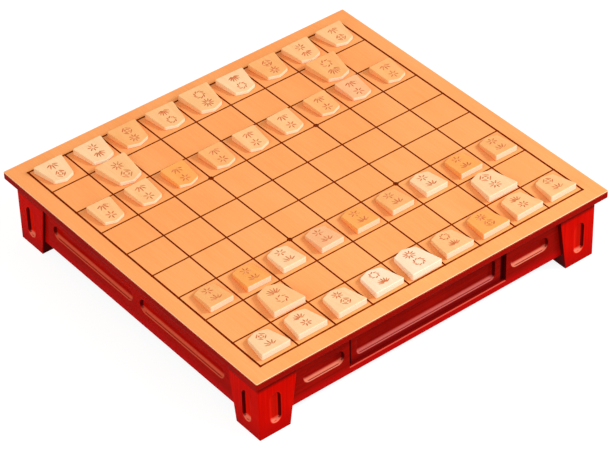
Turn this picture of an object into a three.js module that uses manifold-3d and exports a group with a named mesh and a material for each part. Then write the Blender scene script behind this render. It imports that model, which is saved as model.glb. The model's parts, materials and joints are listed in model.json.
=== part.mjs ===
// A shogi table: a squared playing board on four lacquered corner legs, with a
// drawer under each player's edge and the forty pieces in their opening places.
// Lengths are millimetres and +Z is up. The origin is on the floor under the
// middle of the board, +X runs along the near player's edge, and +Y points at
// the far player.

import * as THREE from 'three'
import { mergeVertices } from 'three/addons/utils/BufferGeometryUtils.js'
import Module from 'manifold-3d'

// Playing squares and their engraved lines
const squaresPerSide = 9
const squareWidth = 33
const squareLength = 31
const lineWidth = 1.4
const lengthwiseLineDepth = 0.5
const crosswiseLineDepth = 0.375
const starRadius = 1.75
const starDepth = 0.25
const squaresToStar = 3

// Board: a thin facing of bare wood on a lacquered core
const tableHeight = 61
const sideMargin = 13.5
const endMargin = 13
const facingThickness = 1
const coreThickness = 6
const boardCornerRadius = 1

// Corner legs, square at the head and tapered on their two inner faces
const legSideInset = 6
const legEndInset = 7
const legFootWidth = 27
const legHeadWidth = 35
const legGrooveWidth = 10.5
const legGrooveCornerRadius = 5
const legGrooveLength = 28
const legGrooveHeight = 23
const legGrooveFromCorner = 14.5

// Aprons between the legs, set back from the legs' outer faces, and the gap left
// in every glued corner joint
const apronThickness = 8
const apronLift = 11.25
const endApronSetback = 3.75
const sideApronSetback = 2.5
const joinGap = 0.25

// Round-ended panels routed into the aprons and the drawer fronts
const grooveWidth = 13
const grooveDepth = 4
const grooveCoveRadius = 3
const grooveCornerRadius = 6
const grooveHeight = 31.25
const grooveToEdge = 4
const flankGrooveLength = 37.5
const sideGrooveLength = 100
const sideGrooveSpacing = 8

// Drawers, and the opening that each one slides in
const drawerOpeningWidth = 146
const drawerRailHeight = 6.25
const drawerRecess = 2.5
const drawerGrooveLength = 130
const drawerGrooveWidth = 19
const drawerGrooveCornerRadius = 4
const drawerSideGap = 0.5
const drawerSlideGap = 0.25
const drawerTopGap = 0.5
const drawerFrontThickness = 8
const drawerWallThickness = 6
const drawerHeadroom = 5.75
const drawerBottomThickness = 3

// Runners under the drawers, and the rail that stops them in the middle
const runnerLedge = 9
const runnerGuideThickness = 8
const stopRailThickness = 8
const stopRailHeight = 24

// Wedge-shaped playing pieces: the room each kind leaves in its square, and the
// heights of its thick butt and thin nose
const komaKinds = {
  king: { sideRoom: 5.5, endRoom: 2, buttHeight: 6, noseHeight: 3.25, shoulderShare: 0.74 },
  rook: { sideRoom: 5, endRoom: 2, buttHeight: 5.75, noseHeight: 3.25, shoulderShare: 0.74 },
  bishop: { sideRoom: 5, endRoom: 2, buttHeight: 5.75, noseHeight: 3.25, shoulderShare: 0.74 },
  gold: { sideRoom: 7, endRoom: 6, buttHeight: 5.5, noseHeight: 3, shoulderShare: 0.74 },
  silver: { sideRoom: 7, endRoom: 6, buttHeight: 5.5, noseHeight: 3, shoulderShare: 0.76 },
  knight: { sideRoom: 7, endRoom: 6.5, buttHeight: 5.5, noseHeight: 3, shoulderShare: 0.74 },
  lance: { sideRoom: 7.5, endRoom: 6.5, buttHeight: 5.5, noseHeight: 3, shoulderShare: 0.7 },
  pawn: { sideRoom: 12, endRoom: 6.5, buttHeight: 5.25, noseHeight: 2.75, shoulderShare: 0.86 },
}
const komaShoulderLengthShare = 0.87
const komaEdgeSoftening = 0.4

// How far a routing cutter runs past the face it enters
const overrun = 1

// Heights and faces that follow from the sizes above
const boardWidth = squaresPerSide * squareWidth + 2 * sideMargin
const boardLength = squaresPerSide * squareLength + 2 * endMargin
const coreTop = tableHeight - facingThickness
const legTop = coreTop - coreThickness
const legFaceX = boardWidth / 2 - legSideInset
const legFaceY = boardLength / 2 - legEndInset
const apronFaceX = legFaceX - sideApronSetback
const apronFaceY = legFaceY - endApronSetback
const apronBackY = apronFaceY - apronThickness
const apronEndX = legFaceX - legFootWidth
const apronEndY = legFaceY - legFootWidth
const drawerRailTop = apronLift + drawerRailHeight
const drawerWidth = drawerOpeningWidth - 2 * drawerSideGap
const drawerUnderside = drawerRailTop + drawerSlideGap
const drawerFloorZ = drawerUnderside + drawerBottomThickness
const drawerWallHeight = legTop - drawerHeadroom - drawerFloorZ
const drawerFrontFaceY = apronFaceY - drawerRecess
const drawerFrontBackY = drawerFrontFaceY - drawerFrontThickness
const drawerTailY = stopRailThickness / 2 + drawerSlideGap
const trayLength = drawerFrontBackY - drawerTailY

const arcSegments = 8
const coveSegments = 3
const starSegments = 12

const wasm = await Module()
wasm.setup()

// Joins a geometry's shared corners and makes a solid of it for cutting
function toSolid(geometry) {
  const bare = geometry.clone()
  bare.deleteAttribute('normal')
  bare.deleteAttribute('uv')
  const merged = mergeVertices(bare)
  return new wasm.Manifold(new wasm.Mesh({
    numProp: 3,
    vertProperties: merged.getAttribute('position').array,
    triVerts: Uint32Array.from(merged.index.array),
  }))
}

// Cuts every cutter out of a geometry
function carve(geometry, cutters) {
  const solid = toSolid(geometry).subtract(wasm.Manifold.union(cutters.map(toSolid)))
  const mesh = solid.getMesh()
  const carved = new THREE.BufferGeometry()
  carved.setAttribute('position', new THREE.BufferAttribute(mesh.vertProperties, 3))
  carved.setIndex(new THREE.BufferAttribute(mesh.triVerts, 1))
  carved.computeVertexNormals()
  return carved
}

// A box between two corners
function block(low, high) {
  const size = new THREE.Vector3().subVectors(high, low)
  const middle = new THREE.Vector3().addVectors(high, low).divideScalar(2)
  return new THREE.BoxGeometry(size.x, size.y, size.z).translate(middle.x, middle.y, middle.z)
}

function outline(points) {
  return new THREE.Shape(points.map(([x, y]) => new THREE.Vector2(x, y)))
}

// The board's outline, with its upright corners rounded
function boardOutline() {
  const reachX = boardWidth / 2 - boardCornerRadius
  const reachY = boardLength / 2 - boardCornerRadius
  const quarter = Math.PI / 2
  const shape = new THREE.Shape()
  shape.absarc(reachX, reachY, boardCornerRadius, 0, quarter)
  shape.absarc(-reachX, reachY, boardCornerRadius, quarter, 2 * quarter)
  shape.absarc(-reachX, -reachY, boardCornerRadius, 2 * quarter, 3 * quarter)
  shape.absarc(reachX, -reachY, boardCornerRadius, 3 * quarter, 4 * quarter)
  return shape
}

// The cutter of one round-ended groove, lying along X with its mouth at z = 0.
// Its lower edge is rounded, so the groove's wall runs into its floor in a cove.
function grooveCutter(length, width, cornerRadius) {
  const reachX = length / 2 - cornerRadius
  const reachY = width / 2 - cornerRadius
  const quarter = Math.PI / 2
  const shape = new THREE.Shape()
  shape.absarc(reachX, reachY, cornerRadius, 0, quarter)
  shape.absarc(-reachX, reachY, cornerRadius, quarter, 2 * quarter)
  shape.absarc(-reachX, -reachY, cornerRadius, 2 * quarter, 3 * quarter)
  shape.absarc(reachX, -reachY, cornerRadius, 3 * quarter, 4 * quarter)
  const wall = grooveDepth - grooveCoveRadius
  return new THREE.ExtrudeGeometry(shape, {
    depth: wall + overrun,
    curveSegments: arcSegments / 2,
    bevelThickness: grooveCoveRadius,
    bevelSize: grooveCoveRadius,
    bevelOffset: -grooveCoveRadius,
    bevelSegments: coveSegments,
  }).translate(0, 0, -wall)
}

// The bare wood facing, with the playing lines and star points engraved in it.
// The lines that run away from the players are cut deeper than those across.
function facingGeometry() {
  const plate = new THREE.ExtrudeGeometry(boardOutline(), {
    depth: facingThickness,
    bevelEnabled: false,
    curveSegments: arcSegments / 2,
  })
  const gridX = squaresPerSide * squareWidth / 2
  const gridY = squaresPerSide * squareLength / 2
  const halfLine = lineWidth / 2
  const top = facingThickness + overrun
  const lengthwise = []
  const crosswise = []
  for (let k = 0; k <= squaresPerSide; k++) {
    const x = k * squareWidth - gridX
    const y = k * squareLength - gridY
    lengthwise.push(block(
      new THREE.Vector3(x - halfLine, -gridY - halfLine, facingThickness - lengthwiseLineDepth),
      new THREE.Vector3(x + halfLine, gridY + halfLine, top)))
    crosswise.push(block(
      new THREE.Vector3(-gridX - halfLine, y - halfLine, facingThickness - crosswiseLineDepth),
      new THREE.Vector3(gridX + halfLine, y + halfLine, top)))
  }
  const starX = gridX - squaresToStar * squareWidth
  const starY = gridY - squaresToStar * squareLength
  const stars = []
  for (const x of [-starX, starX]) {
    for (const y of [-starY, starY]) {
      stars.push(new THREE.CylinderGeometry(starRadius, starRadius, 2 * starDepth, starSegments)
        .rotateX(Math.PI / 2)
        .translate(x, y, facingThickness))
    }
  }
  return [lengthwise, crosswise, stars].reduce(carve, plate)
}

function coreGeometry() {
  return new THREE.ExtrudeGeometry(boardOutline(), {
    depth: coreThickness,
    bevelEnabled: false,
    curveSegments: arcSegments / 2,
  })
}

// One leg, with its outer upright edge on the local Z axis. Both aprons run into
// rebates behind its outer faces: one along local X, and one along local Y.
function legGeometry(setbackAlongX, setbackAlongY) {
  const post = new THREE.BoxGeometry(legHeadWidth, legHeadWidth, legTop)
    .translate(legHeadWidth / 2, legHeadWidth / 2, legTop / 2)
  const corners = post.getAttribute('position')
  for (let k = 0; k < corners.count; k++) {
    const width = THREE.MathUtils.lerp(legFootWidth, legHeadWidth, corners.getZ(k) / legTop)
    const taper = width / legHeadWidth
    corners.setXY(k, corners.getX(k) * taper, corners.getY(k) * taper)
  }
  const rebateStart = legFootWidth - joinGap
  const rebateEnd = legHeadWidth + overrun
  const rebateBottom = apronLift - joinGap
  const rebateTop = legTop + overrun
  const slot = apronThickness + joinGap
  const groove = () => grooveCutter(legGrooveLength, legGrooveWidth, legGrooveCornerRadius)
    .rotateZ(Math.PI / 2)
    .rotateX(Math.PI / 2)
  return carve(post, [
    block(
      new THREE.Vector3(rebateStart, setbackAlongX - joinGap, rebateBottom),
      new THREE.Vector3(rebateEnd, setbackAlongX + slot, rebateTop)),
    block(
      new THREE.Vector3(setbackAlongY - joinGap, rebateStart, rebateBottom),
      new THREE.Vector3(setbackAlongY + slot, rebateEnd, rebateTop)),
    groove().translate(legGrooveFromCorner, 0, legGrooveHeight),
    groove().rotateZ(-Math.PI / 2).translate(0, legGrooveFromCorner, legGrooveHeight),
  ])
}

// A board cut to an outline, face up, with its grooves routed into the face. The
// outline's x runs along the board and its y is the height above the floor.
function routedPanel(shape, thickness, grooves) {
  const panel = new THREE.ExtrudeGeometry(shape, { depth: thickness, bevelEnabled: false })
  return carve(panel, grooves.map(({ x, length, width, cornerRadius }) =>
    grooveCutter(length, width, cornerRadius).translate(x, grooveHeight, thickness)))
}

// A player's apron, notched from above for the drawer
function playerApronGeometry() {
  const notch = drawerOpeningWidth / 2
  const shape = outline([
    [-apronEndX, apronLift],
    [apronEndX, apronLift],
    [apronEndX, legTop],
    [notch, legTop],
    [notch, drawerRailTop],
    [-notch, drawerRailTop],
    [-notch, legTop],
    [-apronEndX, legTop],
  ])
  const x = notch + grooveToEdge + flankGrooveLength / 2
  const groove = {
    length: flankGrooveLength, width: grooveWidth, cornerRadius: grooveCornerRadius,
  }
  return routedPanel(shape, apronThickness, [{ ...groove, x }, { ...groove, x: -x }])
}

function sideApronGeometry() {
  const shape = outline([
    [-apronEndY, apronLift],
    [apronEndY, apronLift],
    [apronEndY, legTop],
    [-apronEndY, legTop],
  ])
  const x = (sideGrooveSpacing + sideGrooveLength) / 2
  const groove = {
    length: sideGrooveLength, width: grooveWidth, cornerRadius: grooveCornerRadius,
  }
  return routedPanel(shape, apronThickness, [{ ...groove, x }, { ...groove, x: -x }])
}

function drawerFrontGeometry() {
  const half = drawerWidth / 2
  const top = legTop - drawerTopGap
  const shape = outline([
    [-half, drawerUnderside],
    [half, drawerUnderside],
    [half, top],
    [-half, top],
  ])
  return routedPanel(shape, drawerFrontThickness, [{
    x: 0, length: drawerGrooveLength, width: drawerGrooveWidth,
    cornerRadius: drawerGrooveCornerRadius,
  }])
}

// The drawer's two sides and its back, in one U open towards the front at y = 0
function drawerFrameGeometry() {
  const outer = drawerWidth / 2
  const inner = outer - drawerWallThickness
  const shape = outline([
    [-outer, 0],
    [-inner, 0],
    [-inner, trayLength - drawerWallThickness],
    [inner, trayLength - drawerWallThickness],
    [inner, 0],
    [outer, 0],
    [outer, trayLength],
    [-outer, trayLength],
  ])
  return new THREE.ExtrudeGeometry(shape, { depth: drawerWallHeight, bevelEnabled: false })
}

function drawerBottomGeometry() {
  return new THREE.BoxGeometry(drawerWidth, trayLength, drawerBottomThickness)
    .translate(0, trayLength / 2, drawerBottomThickness / 2)
}

// An L-shaped runner, extruded from one player's apron to the other's. Its ledge
// carries both drawers and its upright guides their sides.
function runnerGeometry() {
  const guide = drawerOpeningWidth / 2
  const shape = outline([
    [guide - runnerLedge, apronLift],
    [guide + runnerGuideThickness, apronLift],
    [guide + runnerGuideThickness, legTop],
    [guide, legTop],
    [guide, drawerRailTop],
    [guide - runnerLedge, drawerRailTop],
  ])
  return new THREE.ExtrudeGeometry(shape, { depth: 2 * apronBackY, bevelEnabled: false })
    .translate(0, 0, -apronBackY)
}

function stopRailGeometry() {
  const width = drawerOpeningWidth - 2 * joinGap
  return new THREE.BoxGeometry(width, stopRailThickness, stopRailHeight)
    .translate(0, 0, legTop - stopRailHeight / 2)
}

// One playing piece, five-sided in plan and pointing to +Y, whose top slopes
// from the butt down to the nose
function komaGeometry({ sideRoom, endRoom, buttHeight, noseHeight, shoulderShare }) {
  const width = squareWidth - sideRoom
  const length = squareLength - endRoom
  const butt = width / 2
  const shoulder = butt * shoulderShare
  const shoulderY = length * komaShoulderLengthShare - length / 2
  const shape = outline([
    [-butt, -length / 2],
    [butt, -length / 2],
    [shoulder, shoulderY],
    [0, length / 2],
    [-shoulder, shoulderY],
  ])
  const koma = new THREE.ExtrudeGeometry(shape, {
    depth: buttHeight - 2 * komaEdgeSoftening,
    bevelThickness: komaEdgeSoftening,
    bevelSize: komaEdgeSoftening,
    bevelOffset: -komaEdgeSoftening,
    bevelSegments: 1,
  }).translate(0, 0, komaEdgeSoftening)
  const points = koma.getAttribute('position')
  for (let k = 0; k < points.count; k++) {
    const height = THREE.MathUtils.lerp(buttHeight, noseHeight, points.getY(k) / length + 1 / 2)
    points.setZ(k, points.getZ(k) * height / buttHeight)
  }
  koma.computeVertexNormals()
  return koma
}

const finishes = {
  bareWood: { color: 0xfeae6d, roughness: 0.5 },
  redLacquer: { color: 0xd50f05, roughness: 0.25 },
  deepLacquer: { color: 0x9c180b, roughness: 0.3 },
  trayWood: { color: 0xc98f55, roughness: 0.7 },
  ivory: { color: 0xfce4c0, roughness: 0.5 },
  pale: { color: 0xfad29f, roughness: 0.5 },
  cream: { color: 0xfac588, roughness: 0.5 },
  peach: { color: 0xf9b772, roughness: 0.5 },
  amber: { color: 0xfaae5e, roughness: 0.5 },
  blush: { color: 0xf8be8e, roughness: 0.5 },
}

const table = new THREE.Group()

function addPart(parent, name, geometry, finish) {
  const mesh = new THREE.Mesh(geometry, new THREE.MeshStandardMaterial({
    ...finishes[finish], metalness: 0,
  }))
  mesh.name = name
  parent.add(mesh)
  return mesh
}

// Board
addPart(table, 'playing_facing', facingGeometry(), 'bareWood').position.z = coreTop

// The core hangs below the glue line, so it is turned over about X
const core = addPart(table, 'board_core', coreGeometry(), 'deepLacquer')
core.position.z = coreTop
core.rotation.x = Math.PI

// Legs, each a quarter turn on from the last one, so that the apron along local X
// is a player's for two of them and a side one for the others
const legCorners = [
  { name: 'leg_front_left', x: -legFaceX, y: -legFaceY },
  { name: 'leg_front_right', x: legFaceX, y: -legFaceY },
  { name: 'leg_back_right', x: legFaceX, y: legFaceY },
  { name: 'leg_back_left', x: -legFaceX, y: legFaceY },
]
legCorners.forEach(({ name, x, y }, k) => {
  const setbacks = [endApronSetback, sideApronSetback]
  const geometry = legGeometry(setbacks[k % 2], setbacks[(k + 1) % 2])
  const leg = addPart(table, name, geometry, 'redLacquer')
  leg.position.set(x, y, 0)
  leg.rotation.z = k * Math.PI / 2
})

// Each pair of like sides is one side and its half turn
const halfTurns = [
  { player: 'front', side: 'left', turn: 0 },
  { player: 'back', side: 'right', turn: Math.PI },
]
for (const { player, side, turn } of halfTurns) {
  const half = new THREE.Group()
  half.rotation.z = turn
  table.add(half)

  const playerApron = addPart(half, `apron_${player}`, playerApronGeometry(), 'deepLacquer')
  playerApron.rotation.x = Math.PI / 2
  playerApron.position.y = -apronBackY

  const sideApron = addPart(half, `apron_${side}`, sideApronGeometry(), 'deepLacquer')
  sideApron.rotation.set(Math.PI / 2, 0, -Math.PI / 2, 'ZYX')
  sideApron.position.x = -(apronFaceX - apronThickness)

  const runner = addPart(half, `runner_${side}`, runnerGeometry(), 'trayWood')
  runner.rotation.set(Math.PI / 2, 0, Math.PI, 'ZYX')

  const front = addPart(half, `${player}_drawer_front`, drawerFrontGeometry(), 'deepLacquer')
  front.rotation.x = Math.PI / 2
  front.position.y = -drawerFrontBackY

  const bottom = addPart(half, `${player}_drawer_bottom`, drawerBottomGeometry(), 'trayWood')
  bottom.position.set(0, -drawerFrontBackY, drawerUnderside)

  const frame = addPart(half, `${player}_drawer_frame`, drawerFrameGeometry(), 'trayWood')
  frame.position.set(0, -drawerFrontBackY, drawerFloorZ)
}
addPart(table, 'drawer_stop_rail', stopRailGeometry(), 'trayWood')

// The opening places, seen by each player from left to right. A slip share moves
// a piece sideways, and an advance share forwards, within its room in the square.
const nobleKinds = [
  'lance', 'knight', 'silver', 'gold', 'king', 'gold', 'silver', 'knight', 'lance',
]
const nobleSides = [
  '_left', '_left', '_left', '_left', '', '_right', '_right', '_right', '_right',
]
const bishopFile = 1
const rookFile = squaresPerSide - 1 - bishopFile
const pawnRank = 2

const players = {
  near: {
    turn: 0,
    nobleSlipShares: [0, -0.23, 0.29, 0.43, 0.4, 0.17, 0.5, 0.34, 0.27],
    nobleTurns: [0, -0.8, 0.3, 0.9, 0, -0.6, 0.8, 1, 0.4],
    nobleTones: ['pale', 'pale', 'pale', 'ivory', 'ivory', 'cream', 'amber', 'cream', 'cream'],
    bishop: { slipShare: 0.76, turn: -1.3, tone: 'cream' },
    rook: { slipShare: 0.56, turn: -1, tone: 'pale' },
    pawnSlipShares: [0.17, 0.23, -0.07, 0.17, 0.23, 0.1, -0.03, 0.08, 0.25],
    pawnTurns: [0.5, -1.5, 0, 0.5, -1, 0.4, 0, -0.8, -1.2],
    pawnTones: ['peach', 'amber', 'pale', 'blush', 'amber', 'peach', 'pale', 'amber', 'peach'],
    pawnAdvanceShare: 0.05,
  },
  far: {
    turn: Math.PI,
    nobleSlipShares: [-0.3, -0.15, -0.27, -0.69, -0.75, -0.46, 0.05, -0.43, 0.3],
    nobleTurns: [1, 0.5, -0.6, -1.2, -1, -1.5, 0, 1.4, 0.8],
    nobleTones: ['cream', 'cream', 'peach', 'pale', 'cream', 'cream', 'peach', 'pale', 'pale'],
    bishop: { slipShare: -0.9, turn: -1.6, tone: 'peach' },
    rook: { slipShare: -0.95, turn: 3, tone: 'cream' },
    pawnSlipShares: [-0.2, 0, -0.35, 0, 0, -0.25, 0, 0, 0.1],
    pawnTurns: [0.5, -0.8, 1, 1.6, -1.2, 0.4, 0.5, 1.2, -0.5],
    pawnTones: ['peach', 'blush', 'peach', 'cream', 'cream', 'peach', 'amber', 'cream', 'cream'],
    pawnAdvanceShare: 0.4,
  },
}

// Sets one piece on its square, counting files and ranks from the player's left
function addKoma(side, player, name, kind, file, rank, { slipShare, advanceShare, turn, tone }) {
  const { sideRoom, endRoom } = komaKinds[kind]
  const koma = addPart(side, `koma_${player}_${name}`, komaGeometry(komaKinds[kind]), tone)
  const middle = (squaresPerSide - 1) / 2
  koma.position.x = (file - middle) * squareWidth + slipShare * sideRoom / 2
  koma.position.y = (rank - middle) * squareLength + advanceShare * endRoom / 2
  koma.position.z = tableHeight
  koma.rotation.z = THREE.MathUtils.degToRad(turn)
}

for (const [player, set] of Object.entries(players)) {
  const side = new THREE.Group()
  side.rotation.z = set.turn
  table.add(side)

  nobleKinds.forEach((kind, file) => addKoma(side, player, kind + nobleSides[file], kind, file, 0, {
    slipShare: set.nobleSlipShares[file],
    advanceShare: 0,
    turn: set.nobleTurns[file],
    tone: set.nobleTones[file],
  }))
  addKoma(side, player, 'bishop', 'bishop', bishopFile, 1, { ...set.bishop, advanceShare: 0 })
  addKoma(side, player, 'rook', 'rook', rookFile, 1, { ...set.rook, advanceShare: 0 })
  set.pawnTones.forEach((tone, file) => addKoma(
    side, player, `pawn_${file + 1}`, 'pawn', file, pawnRank, {
      slipShare: set.pawnSlipShares[file],
      advanceShare: set.pawnAdvanceShare,
      turn: set.pawnTurns[file],
      tone,
    }))
}

export default table
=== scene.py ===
"""The looks of a shogi table: bare wood on red lacquer, two drawers, and forty playing pieces.
Lengths are metres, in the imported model's own frame: +Z up, the near player at -Y."""

import json
import math

import bmesh
import bpy
from mathutils import Matrix, Vector


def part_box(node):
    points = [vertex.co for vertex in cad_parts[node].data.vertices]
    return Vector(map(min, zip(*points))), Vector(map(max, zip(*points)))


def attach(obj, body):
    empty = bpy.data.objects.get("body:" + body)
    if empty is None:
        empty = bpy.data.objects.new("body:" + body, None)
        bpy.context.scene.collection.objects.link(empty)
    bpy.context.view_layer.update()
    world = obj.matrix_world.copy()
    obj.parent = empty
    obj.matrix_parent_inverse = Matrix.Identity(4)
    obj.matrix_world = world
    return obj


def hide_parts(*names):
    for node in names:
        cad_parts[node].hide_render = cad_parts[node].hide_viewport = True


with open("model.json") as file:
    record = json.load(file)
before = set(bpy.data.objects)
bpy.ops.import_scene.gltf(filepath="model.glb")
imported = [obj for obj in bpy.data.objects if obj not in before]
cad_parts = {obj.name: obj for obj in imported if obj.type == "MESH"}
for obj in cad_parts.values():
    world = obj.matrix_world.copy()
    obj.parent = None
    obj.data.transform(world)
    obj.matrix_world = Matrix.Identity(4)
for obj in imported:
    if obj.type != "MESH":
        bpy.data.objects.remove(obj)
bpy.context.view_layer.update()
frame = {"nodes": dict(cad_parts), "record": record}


# The camera: a long lens two metres away, looking down over the board's near left corner, so
# that the far edges come out only a little shorter than the near ones.
photo_width = 610
focal_pixels = 2747.7
camera_place = (-0.96457, -1.25496, 1.30421)
camera_turn_degrees = (50.9216, 1.3675, -38.6683)

camera = bpy.data.objects.new("camera", bpy.data.cameras.new("camera"))
bpy.context.scene.collection.objects.link(camera)
camera.location = camera_place
camera.rotation_euler = [math.radians(angle) for angle in camera_turn_degrees]
camera.data.lens = focal_pixels / photo_width * camera.data.sensor_width
camera.data.clip_start = 0.1
camera.data.clip_end = 20
bpy.context.scene.camera = camera
bpy.context.scene.view_settings.view_transform = "Standard"


# The board: a plank of wood under dark red lacquer, its upright corners rounded and its
# lower edge rubbed soft. The legs and aprons are glued up under it.
corner_radius = 0.001
lower_edge_radius = 0.0014
glue_line_chamfer = 0.00015
lacquer_index = 1.04
lacquer_ripple = 0.00005
# How far a face turns upwards where the lacquer's painted highlight, painted ledge shade and painted
# underside shade begin and are full.
highlight_turn = (0.25, 0.7)
ledge_shade_turn = (0.94, 0.99)
underside_shade_turn = (-0.2, -0.7)
height_tolerance = 1e-6


def take_up(piece):
    """Leaves one piece selected and active, in object mode."""
    if bpy.context.object and bpy.context.object.mode != "OBJECT":
        bpy.ops.object.mode_set(mode="OBJECT")
    bpy.ops.object.select_all(action="DESELECT")
    piece.select_set(True)
    bpy.context.view_layer.objects.active = piece


def settle(piece, name):
    """Names a new piece, and moves its place, turn and size into its mesh."""
    take_up(piece)
    piece.name = name
    bpy.ops.object.transform_apply(location=True, rotation=True, scale=True)
    return piece


def add_block(name, low, high):
    low, high = Vector(low), Vector(high)
    bpy.ops.object.select_all(action="DESELECT")
    bpy.ops.mesh.primitive_cube_add(size=1, location=(low + high) / 2, scale=high - low)
    return settle(bpy.context.object, name)


def pick(piece, kind, wanted):
    """In edit mode, selects the faces, edges or corners of a piece that pass a test."""
    take_up(piece)
    bpy.ops.object.mode_set(mode="EDIT")
    bpy.ops.mesh.select_mode(type=kind)
    bpy.ops.mesh.select_all(action="DESELECT")
    shape = bmesh.from_edit_mesh(piece.data)
    for element in {"FACE": shape.faces, "EDGE": shape.edges, "VERT": shape.verts}[kind]:
        if wanted(element):
            element.select_set(True)
    shape.select_flush_mode()
    bmesh.update_edit_mesh(piece.data)


def leave():
    bpy.ops.object.mode_set(mode="OBJECT")


def round_edges(piece, wanted, radius, steps):
    pick(piece, "EDGE", wanted)
    bpy.ops.mesh.bevel(offset=radius, segments=steps, affect="EDGES", profile=0.5)
    leave()


def upright(edge):
    first, second = (corner.co for corner in edge.verts)
    return abs(first.z - second.z) > 0.9 * (first - second).length


def lying_at(height):
    """A test for edges that lie all along one height."""
    return lambda edge: all(abs(corner.co.z - height) < height_tolerance for corner in edge.verts)


def finish_with(piece, kind, **settings):
    """Adds a modifier to a piece and applies it."""
    modifier = piece.modifiers.new(kind.lower(), kind)
    for name, value in settings.items():
        setattr(modifier, name, value)
    take_up(piece)
    bpy.ops.object.modifier_apply(modifier=modifier.name)


def smooth(piece, angle=40):
    """Shades a piece smooth over its rounded edges and keeps its flat faces flat."""
    take_up(piece)
    bpy.ops.object.shade_smooth_by_angle(angle=math.radians(angle))
    finish_with(piece, "WEIGHTED_NORMAL", keep_sharp=True)


class Shade:
    """An output in a material's node tree. Arithmetic on shades adds Math nodes."""

    def __init__(self, tree, socket=None):
        self.tree = tree
        self.socket = socket

    def node(self, kind, sockets=None, output=0, **settings):
        """Adds a node of any kind: its settings first, then its sockets."""
        made = self.tree.nodes.new(kind)
        for name, value in settings.items():
            setattr(made, name, value)
        for name, value in (sockets or {}).items():
            if isinstance(value, Shade):
                self.tree.links.new(value.socket, made.inputs[name])
            else:
                made.inputs[name].default_value = value
        return Shade(self.tree, made.outputs[output])

    def maths(self, operation, first, second):
        return self.node("ShaderNodeMath", {0: first, 1: second}, operation=operation)

    def __add__(self, other):
        return self.maths("ADD", self, other)

    def __radd__(self, other):
        return self.maths("ADD", other, self)

    def __rmul__(self, other):
        return self.maths("MULTIPLY", other, self)


def paint(red, green, blue):
    """A colour as it looks on screen, from 0 to 255, turned into shares of light."""
    shares = [value / 255 for value in (red, green, blue)]
    light = [s / 12.92 if s <= 0.04045 else ((s + 0.055) / 1.055) ** 2.4 for s in shares]
    return (*light, 1)


def new_finish(name, index):
    """A bare material: itself, its node tree, its shader, and the place on the object.
    Its gloss follows its refractive index."""
    finish = bpy.data.materials.new(name)
    finish.use_nodes = True
    shader = finish.node_tree.nodes["Principled BSDF"]
    shader.inputs["IOR"].default_value = index
    tree = Shade(finish.node_tree)
    return finish, tree, shader, tree.node("ShaderNodeTexCoord", output=3)


def plug(value, shader, name):
    value.tree.links.new(value.socket, shader.inputs[name])


def blend(tree, share, first, second):
    """A colour between two others."""
    return tree.node(
        "ShaderNodeMix", {0: share, 6: first, 7: second}, output=2, data_type="RGBA")


def noise(tree, place, scales, detail=3.0, roughness=0.5, distortion=0.0):
    """Noise that is drawn out where its scale is small, as fibres are along the grain."""
    spot = tree.node("ShaderNodeMapping", {"Vector": place, "Scale": scales})
    return tree.node("ShaderNodeTexNoise", {
        "Vector": spot, "Scale": 1.0, "Detail": detail, "Roughness": roughness,
        "Distortion": distortion})


def between(tree, value, low, high):
    """The value's share of the way from low to high, held within 0 and 1."""
    return tree.node("ShaderNodeMapRange", {"Value": value, "From Min": low, "From Max": high})


def raise_by(tree, shader, height, distance):
    """Lets a height between 0 and 1 stand up to a distance off the surface."""
    plug(tree.node("ShaderNodeBump", {"Height": height, "Distance": distance}), shader, "Normal")


def part_along(tree, vector, axis):
    """One of the three numbers of a place or a direction."""
    return tree.node("ShaderNodeSeparateXYZ", {0: vector}, output="xyz".index(axis))


def facing(tree, axis):
    """How far the surface turns towards an axis, from -1 to 1."""
    return part_along(tree, tree.node("ShaderNodeNewGeometry", output=1), axis)


def grain_scales(along, fine, long):
    """Noise scales for fibres that run along one axis."""
    return tuple(long if axis == along else fine for axis in "xyz")


def lacquer(name, bright, deep, along, painted_highlight, bands=()):
    """Coloured lacquer over wood, thin enough that its fibres show through it. A painted
    highlight makes it palest where a rounded edge or a cove turns upwards, and painted shade
    makes it dark on ledges and where an edge turns under. Bands of painted shade and painted
    light are laid over it, each with a colour, an axis, and the places where it starts and is full."""
    finish, tree, shader, place = new_finish(name, lacquer_index)
    clouds = noise(tree, place, (34, 34, 34))
    fibres = noise(tree, place, grain_scales(along, 800, 20), detail=4, roughness=0.6)
    tone = 0.6 * between(tree, fibres, 0.36, 0.66) + 0.4 * between(tree, clouds, 0.35, 0.7)
    colour = blend(tree, tone, deep, bright)
    for band_colour, axis, start, full in bands:
        distance = tree.maths("ABSOLUTE", part_along(tree, place, axis), 0)
        colour = blend(tree, between(tree, distance, start, full), colour, band_colour)
    upward = facing(tree, "z")
    # Painted shade: faces that turn straight up, such as ledges, take the deep colour.
    ledge_shade = between(tree, upward, *ledge_shade_turn)
    colour = blend(tree, between(tree, upward, *highlight_turn), colour, painted_highlight)
    colour = blend(tree, ledge_shade, colour, deep)
    # Painted shade: edges that turn downwards go near black.
    underside_shade = between(tree, upward, *underside_shade_turn)
    plug(blend(tree, underside_shade, colour, underside_shade_colour), shader, "Base Color")
    plug(0.18 + 0.1 * between(tree, clouds, 0.3, 0.7), shader, "Roughness")
    raise_by(tree, shader, 0.6 * fibres + 0.4 * clouds, lacquer_ripple)
    return finish


def dress(piece, body, slot, *nodes):
    """Gives a finished piece its body and hides the CAD nodes that it stands for.
    Its slot is not used.
    """
    smooth(piece)
    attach(piece, body)
    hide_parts(*nodes)


# The near-black red of the painted shade under edges that turn downwards.
underside_shade_colour = paint(60, 2, 3)
board_reds = paint(176, 18, 6), paint(138, 10, 4)
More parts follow.
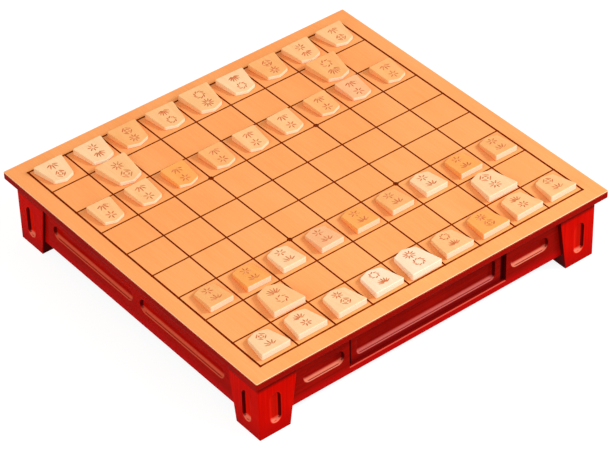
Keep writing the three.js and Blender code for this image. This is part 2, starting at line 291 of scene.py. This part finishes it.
# The pale red of the painted highlight on edges and coves that turn upwards.
painted_highlight_red = paint(236, 128, 100)
board_low, board_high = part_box("board_core")
board = add_block("lacquered_board", board_low, board_high)
board.data.materials.append(
    lacquer("board_lacquer", *board_reds, "y", painted_highlight_red))
round_edges(board, upright, corner_radius, steps=6)
round_edges(board, lying_at(board_low.z), lower_edge_radius, steps=5)
round_edges(board, lying_at(board_high.z), glue_line_chamfer, steps=1)
dress(board, "table", "deep_lacquer", "board_core")


# The playing face: a sheet of pale wood glued on the board. The lines of its squares and its
# four star points are cut into it and run in with brown lacquer, darkest in the points.
squares = 9
square_width = 0.033
square_length = 0.031
line_width = 0.00165
border_line_width = 0.002
line_floor_share = 0.7
lengthwise_line_depth = 0.0005
crosswise_line_depth = 0.0004
star_radius = 0.0021
star_depth = 0.0003
squares_to_star = 3
face_arris = 0.0005
overrun = 0.0006
face_wood_index = 1.06
polished_ripple = 0.00003
edge_lacquer_turn = (0.1, 0.25)
face_top_turn = (0.8, 0.97)

face_low, face_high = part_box("playing_facing")
grid_half_width = squares * square_width / 2
grid_half_length = squares * square_length / 2


def cut_out(piece, *cutters):
    """Takes cutters out of a piece in turn. Where a cutter has a finish, its cut keeps it."""
    for cutter in cutters:
        finish_with(
            piece, "BOOLEAN", operation="DIFFERENCE", solver="EXACT", use_self=True, object=cutter,
            material_mode="TRANSFER" if cutter.data.materials else "INDEX")
        bpy.data.objects.remove(cutter)


def join(pieces, name, finish):
    """Makes one cutter of many, with one finish for the cuts that it leaves."""
    take_up(pieces[0])
    for other in pieces:
        other.select_set(True)
    bpy.ops.object.join()
    pieces[0].data.materials.append(finish)
    return settle(pieces[0], name)


def line_cutter(low, high, floor_shares):
    """A bar that narrows downwards, for one line with sloping walls."""
    bar = add_block("line_cutter", low, high)
    pick(bar, "FACE", lambda face: face.normal.z < -0.5)
    bpy.ops.transform.resize(value=floor_shares)
    leave()
    return bar


def star_cutter(x, y):
    bpy.ops.object.select_all(action="DESELECT")
    bpy.ops.mesh.primitive_cylinder_add(
        vertices=24, radius=star_radius, depth=2 * star_depth, location=(x, y, face_high.z))
    return settle(bpy.context.object, "star_cutter")


def bare_wood(name, light, deep, arris, lacquered_edge):
    """Pale close-grained wood, rubbed smooth, with its fibres running between the players.
    Its upright edge is lacquered with the board's, up to a bare arris painted pale as a highlight."""
    finish, tree, shader, place = new_finish(name, face_wood_index)
    clouds = noise(tree, place, grain_scales("y", 30, 9))
    fibres = noise(tree, place, grain_scales("y", 900, 24), detail=5, roughness=0.6, distortion=0.3)
    flecks = noise(tree, place, grain_scales("y", 2600, 160), detail=1)
    tone = (0.5 * between(tree, clouds, 0.3, 0.7) + 0.35 * between(tree, fibres, 0.35, 0.65)
            + 0.15 * between(tree, flecks, 0.4, 0.7))
    upward = facing(tree, "z")
    top = blend(tree, tone, deep, light)
    edge = blend(tree, between(tree, upward, *edge_lacquer_turn), lacquered_edge, arris)
    plug(blend(tree, between(tree, upward, *face_top_turn), edge, top), shader, "Base Color")
    plug(0.48 + 0.1 * fibres, shader, "Roughness")
    raise_by(tree, shader, fibres, polished_ripple)
    return finish


def worn_paint(name, fresh, worn):
    """Paint run into cuts, and patchy where it has worn."""
    finish, tree, shader, place = new_finish(name, lacquer_index)
    wear = noise(tree, place, (420, 420, 420))
    plug(blend(tree, between(tree, wear, 0.42, 0.75), fresh, worn), shader, "Base Color")
    plug(0.4 + 0.2 * wear, shader, "Roughness")
    return finish


face = add_block("wooden_face", face_low, face_high)
# The bare arris is painted paler than the face, as a highlight.
face.data.materials.append(bare_wood(
    "face_wood", paint(255, 174, 108), paint(248, 157, 89), paint(255, 216, 166), board_reds[0]))
round_edges(face, upright, corner_radius, steps=6)
round_edges(face, lying_at(face_high.z), face_arris, steps=3)

# The crosswise lines' paint is lighter than the lengthwise lines', as painted light.
lengthwise_paint = worn_paint("lengthwise_line_paint", paint(122, 30, 0), paint(148, 46, 2))
crosswise_paint = worn_paint("crosswise_line_paint", paint(122, 42, 0), paint(150, 70, 4))
star_paint = worn_paint("star_point_paint", paint(76, 12, 0), paint(100, 26, 4))
border_reach = border_line_width / 2
lengthwise = []
crosswise = []
for count in range(squares + 1):
    x = count * square_width - grid_half_width
    y = count * square_length - grid_half_length
    reach = border_reach if count in (0, squares) else line_width / 2
    lengthwise.append(line_cutter(
        (x - reach, -grid_half_length - border_reach, face_high.z - lengthwise_line_depth),
        (x + reach, grid_half_length + border_reach, face_high.z + overrun),
        (line_floor_share, 1, 1)))
    crosswise.append(line_cutter(
        (-grid_half_width - border_reach, y - reach, face_high.z - crosswise_line_depth),
        (grid_half_width + border_reach, y + reach, face_high.z + overrun),
        (1, line_floor_share, 1)))
star_x = grid_half_width - squares_to_star * square_width
star_y = grid_half_length - squares_to_star * square_length
stars = [star_cutter(x, y) for x in (-star_x, star_x) for y in (-star_y, star_y)]
cut_out(
    face,
    join(lengthwise, "lengthwise_cutter", lengthwise_paint),
    join(crosswise, "crosswise_cutter", crosswise_paint),
    join(stars, "star_cutters", star_paint))
dress(face, "table", "bare_wood", "playing_facing")


# The legs: square posts at the four corners, tapered on their two inner faces, with an upright
# round-ended groove routed in each outer face. Bright red lacquer over straight-grained wood.
leg_foot_width = 0.027
leg_head_width = 0.035
leg_groove_width = 0.0105
leg_groove_corner_radius = 0.005
leg_groove_length = 0.028
leg_groove_height = 0.023
leg_groove_from_corner = 0.0145
leg_arris = 0.0006
join_gap = 0.00025
groove_lip_radius = 0.0009
groove_cove = (0.003, 0.0024)
groove_lip_steps = 5
groove_cove_steps = 7
# Heights where the legs' painted shadow of the board and their painted shade towards the foot begin
# and are full.
board_shadow_band = (0.0432, 0.0468)
leg_foot_shade = (0.02, 0.004)

leg_low, leg_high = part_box("leg_front_left")
apron_low, apron_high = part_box("apron_front")
side_low, side_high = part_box("apron_left")
apron_thickness = apron_high.y - apron_low.y


def quarter_turn(steps):
    """The angles that split a quarter turn into equal steps, without the first."""
    return [math.pi / 2 * step / steps for step in range(1, steps + 1)]


def groove_cutter(length, width, rounding, place, turn):
    """A flat-nosed cutter with rounded corners that lies along x with its mouth at z = 0,
    before it is turned. It leaves a soft lip at the mouth and a cove along the floor."""
    cutter = add_block(
        "groove_cutter", (-length / 2, -width / 2, 0), (length / 2, width / 2, overrun))
    round_edges(cutter, upright, rounding, steps=8)
    lip = groove_lip_radius
    inwards, down = groove_cove
    profile = [(0, 0)]
    profile += [(lip * math.sin(a), lip * (1 - math.cos(a))) for a in quarter_turn(groove_lip_steps)]
    profile += [
        (lip + inwards * (1 - math.cos(a)), lip + down * math.sin(a))
        for a in quarter_turn(groove_cove_steps)]
    for (inset, depth), (next_inset, next_depth) in zip(profile, profile[1:]):
        pick(cutter, "FACE", lambda face: face.normal.z < -0.99 and len(face.verts) > 4)
        bpy.ops.mesh.inset(thickness=next_inset - inset, depth=next_depth - depth)
        leave()
    cutter.location = place
    cutter.rotation_euler = turn
    return settle(cutter, "groove_cutter")


def darken(piece, wanted):
    """Puts lacquer painted dark, as shade, on the faces of a finished piece that pass a test."""
    piece.data.materials.append(painted_shade_lacquer)
    pick(piece, "FACE", wanted)
    piece.active_material_index = len(piece.data.materials) - 1
    bpy.ops.object.material_slot_assign()
    leave()


def copy_of(piece, name, move):
    """A copy with its own mesh, moved to its place."""
    copy = piece.copy()
    copy.data = piece.data.copy()
    copy.data.transform(move)
    copy.name = name
    bpy.context.scene.collection.objects.link(copy)
    return copy


faces_left_upright = (0, -math.pi / 2, 0)
faces_front_upright = (0, -math.pi / 2, math.pi / 2)
faces_front = (math.pi / 2, 0, 0)
faces_left = (math.pi / 2, 0, -math.pi / 2)

# Lacquer painted dark, as shade, for groove walls and the legs' inner faces.
painted_shade_lacquer = lacquer(
    "painted_shade_lacquer", paint(104, 10, 8), paint(78, 4, 6), "z", paint(176, 70, 56))
leg = add_block("leg", (0, 0, leg_low.z), (leg_head_width, leg_head_width, leg_high.z))
# The legs are painted darker at the top, as the board's shadow, and towards the foot, as shade.
leg.data.materials.append(lacquer(
    "leg_lacquer", paint(226, 14, 2), paint(196, 6, 1), "z", painted_highlight_red,
    [(paint(112, 8, 4), "z", *board_shadow_band), (paint(190, 8, 4), "z", *leg_foot_shade)]))
pick(leg, "FACE", lambda face: face.normal.z < -0.5)
taper = leg_foot_width / leg_head_width
bpy.ops.transform.resize(value=(taper, taper, 1), center_override=(0, 0, 0))
leave()
round_edges(leg, lambda edge: upright(edge) or lying_at(leg_low.z)(edge), leg_arris, steps=4)
# The cut faces of the legs' grooves are painted a brighter red, as light in the grooves.
lit_leg_groove_lacquer = lacquer(
    "lit_leg_groove_lacquer", paint(238, 30, 10), paint(212, 16, 6), "z", painted_highlight_red)
leg_grooves = [
    groove_cutter(
        leg_groove_length, leg_groove_width, leg_groove_corner_radius, place, turn)
    for place, turn in (
        ((leg_groove_from_corner, 0, leg_groove_height), faces_front_upright),
        ((0, leg_groove_from_corner, leg_groove_height), faces_left_upright))]
for cutter in leg_grooves:
    cutter.data.materials.append(lit_leg_groove_lacquer)
cut_out(leg, *leg_grooves)
behind_grooves = leg_low + Vector((1, 1, 0)) * (groove_lip_radius + groove_cove[1] + leg_arris)


def rebate(setback):
    """The low and high corners of the room that an apron along x takes out of a leg."""
    low = Vector((leg_foot_width - join_gap, setback - join_gap, apron_low.z - join_gap))
    high = Vector((
        leg_head_width + overrun, setback + apron_thickness + join_gap, leg_high.z + overrun))
    return low, high


setbacks = [apron_low.y - leg_low.y, side_low.x - leg_low.x]

leg_corners = {
    "leg_front_left": (leg_low.x, leg_low.y),
    "leg_front_right": (-leg_low.x, leg_low.y),
    "leg_back_right": (-leg_low.x, -leg_low.y),
    "leg_back_left": (leg_low.x, -leg_low.y),
}
for quarter, (node, (x, y)) in enumerate(leg_corners.items()):
    post = copy_of(leg, f"lacquered_{node}", Matrix.Identity(4))
    low, high = rebate(setbacks[quarter % 2])
    other_low, other_high = rebate(setbacks[(quarter + 1) % 2])
    cut_out(
        post, add_block("rebate", low, high), add_block("rebate", other_low.yxz, other_high.yxz))
    post.data.transform(
        Matrix.Translation((x, y, 0)) @ Matrix.Rotation(quarter * math.pi / 2, 4, "Z"))
    # Painted shade on the legs' inner faces and on the groove walls that turn to -x or -y.
    darken(post, lambda face: (
        face.normal.x < -0.7 and face.calc_center_median().x > behind_grooves.x
        or face.normal.y < -0.7 and face.calc_center_median().y > behind_grooves.y))
    dress(post, "table", "red_lacquer", node)
bpy.data.objects.remove(leg)


# The aprons: boards let in behind the legs' outer faces, in a deeper red. Each player's apron
# is notched for the drawer, and all have long round-ended grooves routed in them.
groove_width = 0.013
groove_height = 0.03125
groove_corner_radius = 0.006
groove_to_edge = 0.004
flank_groove_length = 0.0375
side_groove_length = 0.1
side_groove_spacing = 0.008
drawer_side_gap = 0.0005
drawer_slide_gap = 0.00025
apron_foot_radius = 0.001
rail_chamfer = 0.0009
# Heights where the aprons' painted light along the foot begins and is full.
players_apron_foot_light = (0.0195, 0.0155)
side_apron_foot_light = (0.02, 0.014)

drawer_low, drawer_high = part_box("front_drawer_front")
players_apron_reds = paint(170, 16, 6), paint(134, 9, 4)
# The aprons are painted brighter along the foot, as light thrown up from the floor.
players_apron_lacquer = lacquer(
    "players_apron_lacquer", *players_apron_reds, "x", painted_highlight_red,
    [(paint(190, 10, 8), "z", *players_apron_foot_light)])
# The side aprons are painted a lighter red than the players' aprons, as painted light on faces that
# the key softbox doesn't reach.
side_apron_lit_lacquer = lacquer(
    "side_apron_lit_lacquer", paint(194, 14, 3), paint(156, 8, 2), "y", paint(226, 94, 66),
    [(paint(196, 8, 6), "z", *side_apron_foot_light)])
half_turn = Matrix.Rotation(math.pi, 4, "Z")

notch_reach = drawer_high.x + drawer_side_gap
rail_top = drawer_low.z - drawer_slide_gap
apron = add_block("apron_with_drawer_notch", apron_low, apron_high)
apron.data.materials.append(players_apron_lacquer)
cut_out(apron, add_block(
    "notch", (-notch_reach, apron_low.y - overrun, rail_top),
    (notch_reach, apron_high.y + overrun, apron_high.z + overrun)))
round_edges(apron, lying_at(apron_low.z), apron_foot_radius, steps=3)
chamfer_cutter = add_block(
    "chamfer_cutter", (-notch_reach, -rail_chamfer / 2, -rail_chamfer / 2),
    (notch_reach, rail_chamfer / 2, rail_chamfer / 2))
# The chamfer's faces turn halfway up and take the full painted highlight, a pale red line.
chamfer_cutter.data.materials.append(lacquer(
    "rail_arris_highlight_lacquer", *players_apron_reds, "x", paint(222, 78, 62)))
chamfer_cutter.rotation_euler.x = math.pi / 4
chamfer_cutter.location = (0, apron_low.y, rail_top)
cut_out(apron, settle(chamfer_cutter, "chamfer_cutter"))
flank_groove_x = notch_reach + groove_to_edge + flank_groove_length / 2
cut_out(apron, *[
    groove_cutter(
        flank_groove_length, groove_width, groove_corner_radius,
        (side * flank_groove_x, apron_low.y, groove_height), faces_front)
    for side in (-1, 1)])
# Painted shade on the faces that turn to -x, such as the grooves' end walls.
darken(apron, lambda face: face.normal.x < -0.7)
back_apron = copy_of(apron, "back_apron", half_turn)
apron.name = "front_apron"
dress(apron, "table", "deep_lacquer", "apron_front")
dress(back_apron, "table", "deep_lacquer", "apron_back")

side_apron = add_block("left_apron", side_low, side_high)
side_apron.data.materials.append(side_apron_lit_lacquer)
round_edges(side_apron, lying_at(side_low.z), apron_foot_radius, steps=3)
side_groove_y = (side_groove_spacing + side_groove_length) / 2
cut_out(side_apron, *[
    groove_cutter(
        side_groove_length, groove_width, groove_corner_radius,
        (side_low.x, side * side_groove_y, groove_height), faces_left)
    for side in (-1, 1)])
# Painted shade on the faces that turn to -y, such as the grooves' end walls.
darken(side_apron, lambda face: face.normal.y < -0.7)
right_apron = copy_of(side_apron, "right_apron", half_turn)
dress(side_apron, "table", "deep_lacquer", "apron_left")
dress(right_apron, "table", "deep_lacquer", "apron_right")


# The runners and the stop rail: plain battens under the board that carry, guide and stop the
# drawers. Unpainted wood, and never seen unless a drawer is out.
batten_arris = 0.0004
tray_wood_index = 1.3
planed_ripple = 0.00008


def tray_wood(name, along):
    """Plain planed wood with open grain."""
    finish, tree, shader, place = new_finish(name, tray_wood_index)
    rings = noise(tree, place, grain_scales(along, 160, 7), detail=4, distortion=0.8)
    fibres = noise(tree, place, grain_scales(along, 1300, 30), detail=4, roughness=0.65)
    tone = 0.6 * between(tree, rings, 0.35, 0.65) + 0.4 * between(tree, fibres, 0.35, 0.65)
    plug(blend(tree, tone, paint(186, 130, 76), paint(222, 172, 112)), shader, "Base Color")
    plug(0.6 + 0.15 * fibres, shader, "Roughness")
    raise_by(tree, shader, fibres, planed_ripple)
    return finish


wood_along_x = tray_wood("tray_wood_crosswise", "x")
wood_along_y = tray_wood("tray_wood_lengthwise", "y")
for node in ("runner_left", "runner_right"):
    frame["nodes"][node].data.materials.clear()
    frame["nodes"][node].data.materials.append(wood_along_y)

rail = add_block("stop_rail", *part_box("drawer_stop_rail"))
rail.data.materials.append(wood_along_x)
round_edges(rail, lambda edge: True, batten_arris, steps=2)
dress(rail, "table", "tray_wood", "drawer_stop_rail")


# The drawers: one under each player's edge, with a lacquered front routed like the aprons,
# and two sides, a back and a bottom of plain wood glued to it.
drawer_arris = 0.0005
board_arris = 0.0004
wall_thickness = 0.006
drawer_groove_length = 0.13
drawer_groove_width = 0.019
drawer_groove_corner_radius = 0.004
# Heights and reaches of the drawer front's painted shade along its foot and at its two ends.
drawer_foot_shade = (0.0235, 0.0205)
drawer_end_shade = (0.0694, 0.07)


def wooden_board(name, low, high, finish):
    board = add_block(name, low, high)
    board.data.materials.append(finish)
    round_edges(board, lambda edge: True, board_arris, steps=2)
    return board


drawer_front = add_block("drawer_front", drawer_low, drawer_high)
# The drawer front is painted darker along its foot and at its two ends, as the shade of its recess.
drawer_front.data.materials.append(lacquer(
    "drawer_lacquer", *players_apron_reds, "x", paint(208, 100, 90),
    [(paint(122, 8, 8), "z", *drawer_foot_shade), (paint(60, 2, 4), "x", *drawer_end_shade)]))
round_edges(drawer_front, lambda edge: True, drawer_arris, steps=3)
cut_out(drawer_front, groove_cutter(
    drawer_groove_length, drawer_groove_width, drawer_groove_corner_radius,
    (0, drawer_low.y, groove_height), faces_front))
# Painted shade on the faces that turn to -x, such as the groove's end wall.
darken(drawer_front, lambda face: face.normal.x < -0.7)

tray_low, tray_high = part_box("front_drawer_frame")
wall_reach = tray_high.x - wall_thickness
tray_back_y = tray_high.y - wall_thickness
drawer_pieces = {
    "front": (drawer_front, "front"),
    "left_side": (wooden_board(
        "side", tray_low, (-wall_reach, tray_high.y, tray_high.z), wood_along_y), "frame"),
    "right_side": (wooden_board(
        "side", (wall_reach, tray_low.y, tray_low.z), tray_high, wood_along_y), "frame"),
    "back": (wooden_board(
        "back", (-wall_reach, tray_back_y, tray_low.z), (wall_reach, tray_high.y, tray_high.z),
        wood_along_x), "frame"),
    "bottom": (wooden_board("bottom", *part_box("front_drawer_bottom"), wood_along_x), "bottom"),
}
for player, move in (("front", Matrix.Identity(4)), ("back", half_turn)):
    body = f"{player}_drawer"
    for name, (pattern, node) in drawer_pieces.items():
        piece = copy_of(pattern, f"{body}_{name}_board", move)
        dress(piece, body, "deep_lacquer" if name == "front" else "tray_wood", f"{body}_{node}")
for pattern, node in drawer_pieces.values():
    bpy.data.objects.remove(pattern)


# The playing pieces: wedges of hard pale wood, thick at the butt, each kind a little smaller
# than the last, with carved ornaments run in with red-brown lacquer on their sloping tops.
koma_sizes = {
    "king": (0.0275, 0.029, 0.006, 0.00325, 0.74),
    "rook": (0.028, 0.029, 0.00575, 0.00325, 0.74),
    "bishop": (0.028, 0.029, 0.00575, 0.00325, 0.74),
    "gold": (0.026, 0.025, 0.0055, 0.003, 0.74),
    "silver": (0.026, 0.025, 0.0055, 0.003, 0.76),
    "knight": (0.026, 0.0245, 0.0055, 0.003, 0.74),
    "lance": (0.0255, 0.0245, 0.0055, 0.003, 0.7),
    "pawn": (0.021, 0.0245, 0.00525, 0.00275, 0.86),
}
koma_shoulder_length_share = 0.87
koma_corner_radius = 0.0012
koma_edge_radius = 0.0007
stroke_depth = 0.0002
stroke_width = 0.0011
petal_ring, petal_length = 0.58, 0.78
leaf_ring, leaf_length, leaf_slant = 0.7, 0.66, 0.6
fan_spread, fan_foot, fan_root = 2.2, -0.8, 0.25
diamond_side = 1.1
weld_distance = 1e-5
koma_wood_index = 1.08
paler_end_turn = (0.55, 0.9)


def rosette(petals):
    """Petals round a ring, as (across, along, length, angle) in shares of an ornament."""
    turns = [2 * math.pi * petal / petals for petal in range(petals)]
    return [
        (petal_ring * math.sin(turn), petal_ring * math.cos(turn), petal_length, math.pi / 2 - turn)
        for turn in turns]


def wreath(leaves):
    """Leaves laid slantwise round a ring."""
    turns = [2 * math.pi * leaf / leaves for leaf in range(leaves)]
    return [
        (leaf_ring * math.sin(turn), leaf_ring * math.cos(turn), leaf_length, leaf_slant - turn)
        for turn in turns]


def palmette(blades):
    """Blades that spread upwards from one point, the middle ones longest."""
    turns = [fan_spread * (blade / (blades - 1) - 0.5) for blade in range(blades)]
    return [
        ((fan_root + reach / 2) * math.sin(turn),
         (fan_root + reach / 2) * math.cos(turn) + fan_foot, reach, math.pi / 2 - turn)
        for turn in turns
        for reach in [0.75 + 0.55 * math.cos(turn)]]


def lozenge(rows):
    """Diamonds, one inside another."""
    reaches = [(row + 1) / rows for row in range(rows)]
    return [
        (across * reach / 2, along * reach / 2, diamond_side * reach, -across * along * math.pi / 4)
        for reach in reaches for across in (-1, 1) for along in (-1, 1)]


koma_ornaments = {
    "king": (rosette(10), wreath(9)),
    "rook": (lozenge(2), rosette(8)),
    "bishop": (palmette(7), wreath(7)),
    "gold": (wreath(8), palmette(7)),
    "silver": (rosette(8), lozenge(2)),
    "knight": (palmette(6), rosette(7)),
    "lance": (lozenge(2), palmette(5)),
    "pawn": (rosette(6), palmette(5)),
}
upper_ornament_share = 0.2
lower_ornament_share = -0.18
ornament_radius_share = 0.18


def stroke_cutter(x, y, length, angle):
    """A leaf-shaped gouge, pointed at both ends, lying in the plane z = 0."""
    bpy.ops.object.select_all(action="DESELECT")
    bpy.ops.mesh.primitive_uv_sphere_add(
        segments=8, ring_count=6, radius=0.5, location=(x, y, 0), rotation=(0, math.pi / 2, angle),
        scale=(2 * stroke_depth, stroke_width, length))
    return settle(bpy.context.object, "stroke_cutter")


def carve_koma(kind):
    """One kind of playing piece, pointing to +y, centred on the origin, standing on z = 0."""
    width, length, butt_height, nose_height, shoulder_share = koma_sizes[kind]
    nose_y = length / 2
    shoulder_y = length * koma_shoulder_length_share - nose_y
    slope = (butt_height - nose_height) / length
    koma = add_block(kind, (-width / 2, -nose_y, 0), (width / 2, shoulder_y, butt_height))
    koma.data.materials.append(None)  # an empty place, for the tone that each copy is given
    pick(koma, "FACE", lambda face: face.normal.y > 0.9)
    bpy.ops.transform.resize(value=(shoulder_share, 1, 1))
    bpy.ops.mesh.extrude_region_move(
        TRANSFORM_OT_translate={"value": (0, nose_y - shoulder_y, 0)})
    bpy.ops.transform.resize(value=(0, 1, 1))
    bpy.ops.mesh.select_all(action="SELECT")
    bpy.ops.mesh.remove_doubles(threshold=weld_distance)
    leave()
    for y in (shoulder_y, nose_y):
        pick(koma, "VERT", lambda corner: (
            corner.co.z > nose_height / 2 and abs(corner.co.y - y) < weld_distance))
        bpy.ops.transform.translate(value=(0, 0, -slope * (y + nose_y)))
        leave()
    pick(koma, "EDGE", lambda edge: True)
    bpy.ops.mesh.dissolve_limited(angle_limit=math.radians(1))
    leave()
    round_edges(koma, upright, koma_corner_radius, steps=4)
    round_edges(koma, lambda edge: not upright(edge), koma_edge_radius, steps=3)

    radius = ornament_radius_share * length
    strokes = []
    for ornament, share in zip(koma_ornaments[kind], (upper_ornament_share, lower_ornament_share)):
        strokes += [
            stroke_cutter(radius * across, share * length + radius * along, radius * reach, angle)
            for across, along, reach, angle in ornament]
    carving = join(strokes, "carving", stroke_paint)
    carving.location.z = (butt_height + nose_height) / 2
    carving.rotation_euler.x = -math.atan(slope)
    cut_out(koma, settle(carving, "carving"))
    return koma


def koma_wood(name, light, deep):
    """Hard close-grained wood, polished, with its fibres running from butt to nose, and painted
    paler, towards white, on the faces that turn towards the butt or the nose."""
    finish, tree, shader, place = new_finish(name, koma_wood_index)
    rings = noise(tree, place, grain_scales("y", 330, 14), detail=3, distortion=0.5)
    fibres = noise(tree, place, grain_scales("y", 2400, 60), detail=3, roughness=0.6)
    clouds = noise(tree, place, (60, 60, 60))
    tone = (0.4 * between(tree, rings, 0.35, 0.65) + 0.25 * between(tree, fibres, 0.35, 0.65)
            + 0.35 * between(tree, clouds, 0.3, 0.7))
    lengthwise = tree.maths("ABSOLUTE", facing(tree, "y"), 0)
    paler_ends = between(tree, lengthwise, *paler_end_turn)
    side = blend(tree, tone, deep, light)
    # The butt and nose faces are painted paler, towards white.
    plug(blend(tree, 0.6 * paler_ends, side, paint(255, 246, 222)), shader, "Base Color")
    plug(0.38 + 0.12 * fibres, shader, "Roughness")
    raise_by(tree, shader, fibres, polished_ripple)
    return finish


stroke_paint = worn_paint("stroke_paint", paint(204, 104, 60), paint(240, 166, 110))
koma_tones = {
    "koma_ivory": koma_wood("koma_ivory_wood", paint(251, 227, 195), paint(247, 213, 175)),
    "koma_pale": koma_wood("koma_pale_wood", paint(250, 212, 164), paint(245, 196, 145)),
    "koma_cream": koma_wood("koma_cream_wood", paint(250, 198, 141), paint(244, 182, 121)),
    "koma_peach": koma_wood("koma_peach_wood", paint(249, 185, 120), paint(242, 169, 102)),
    "koma_amber": koma_wood("koma_amber_wood", paint(251, 174, 97), paint(244, 160, 81)),
    "koma_blush": koma_wood("koma_blush_wood", paint(248, 190, 140), paint(241, 174, 122)),
}
patterns = {kind: carve_koma(kind) for kind in koma_sizes}


def where_it_stands(node, facing):
    """The move from the origin to a CAD playing piece, which faces along +y or -y."""
    corners = [corner.co * facing for corner in frame["nodes"][node].data.vertices]
    nose = max(corners, key=lambda corner: corner.y)
    left_butt = max(corners, key=lambda corner: -corner.x - corner.y)
    right_butt = max(corners, key=lambda corner: corner.x - corner.y)
    butt = (left_butt + right_butt) / 2
    middle = (butt + nose) / 2 * facing
    across = (right_butt - left_butt) * facing
    return (Matrix.Translation((middle.x, middle.y, face_high.z))
            @ Matrix.Rotation(math.atan2(across.y, across.x), 4, "Z"))


node_slots = {part["node"]: part["material_slot"] for part in frame["record"]["subparts"]}
for node in sorted(frame["nodes"]):
    if not node.startswith("koma_"):
        continue
    player, kind = node.split("_")[1:3]
    koma = copy_of(patterns[kind], node.replace("koma", "carved"),
                   where_it_stands(node, 1 if player == "near" else -1))
    koma.data.materials[0] = koma_tones[node_slots[node]]
    dress(koma, node.removeprefix("koma_"), node_slots[node], node)
for pattern in patterns.values():
    bpy.data.objects.remove(pattern)


# The studio: a white floor, a key softbox at the front right, weaker ones at the left and front,
# and even light from all round.
world_strength = 0.54
world_tint = (1, 0.86, 0.74, 1)
lamp_tint = (0.9, 1, 1.1)
lamps = {
    "key_softbox": ((0.62, -0.48, 0.62), 2.2, (0.6, 0.6), 0.6),
    "left_softbox": ((-0.8, -0.3, 0.5), 2.0, (1.0, 1.0), 0.35),
    "front_softbox": ((0.1, -0.6, 0.5), 0.8, (0.4, 0.4), 0.155),
}
floor_white = (0.55, 0.55, 0.55, 1)
floor_shadow_white = (0.26, 0.26, 0.26, 1)
floor_glow = 0.86
floor_size = 8


def add_lamp(name, direction, distance, size, energy):
    """A rectangular softbox, aimed at the middle of the board."""
    lamp = bpy.data.objects.new(name, bpy.data.lights.new(name, "AREA"))
    bpy.context.scene.collection.objects.link(lamp)
    toward = Vector(direction).normalized()
    lamp.location = toward * distance
    lamp.rotation_euler = toward.to_track_quat("Z", "Y").to_euler()
    lamp.data.shape = "RECTANGLE"
    lamp.data.size, lamp.data.size_y = size
    lamp.data.energy = energy
    lamp.data.color = lamp_tint
    lamp.visible_camera = False


# A lamp's energy is set from its share of full light on the board, whatever its distance.
for name, (direction, distance, size, share) in lamps.items():
    add_lamp(name, direction, distance, size, share * math.pi ** 2 * distance ** 2)


def seen_directly(tree):
    """One for rays from the camera, off gloss and through glass, and nothing for other light."""
    shares = [tree.node("ShaderNodeLightPath", output=name) for name in (
        "Is Camera Ray", "Is Glossy Ray", "Is Transmission Ray")]
    return tree.maths("MINIMUM", shares[0] + shares[1] + shares[2], 1.0)


bpy.ops.object.select_all(action="DESELECT")
bpy.ops.mesh.primitive_plane_add(size=floor_size)
floor = settle(bpy.context.object, "studio_floor")
floor_paint, tree, shader, place = new_finish("floor_paint", 1)
seen = seen_directly(tree)
plug(blend(tree, seen, floor_white, floor_shadow_white), shader, "Base Color")
plug(floor_glow * seen, shader, "Emission Strength")
shader.inputs["Emission Color"].default_value = (1, 1, 1, 1)
shader.inputs["Roughness"].default_value = 1
floor.data.materials.append(floor_paint)

world = bpy.data.worlds.new("studio")
bpy.context.scene.world = world
world.use_nodes = True
tree = Shade(world.node_tree)
background = world.node_tree.nodes["Background"]
seen = seen_directly(tree)
plug(blend(tree, seen, world_tint, (1, 1, 1, 1)), background, "Color")
plug(world_strength + (1 - world_strength) * seen, background, "Strength")
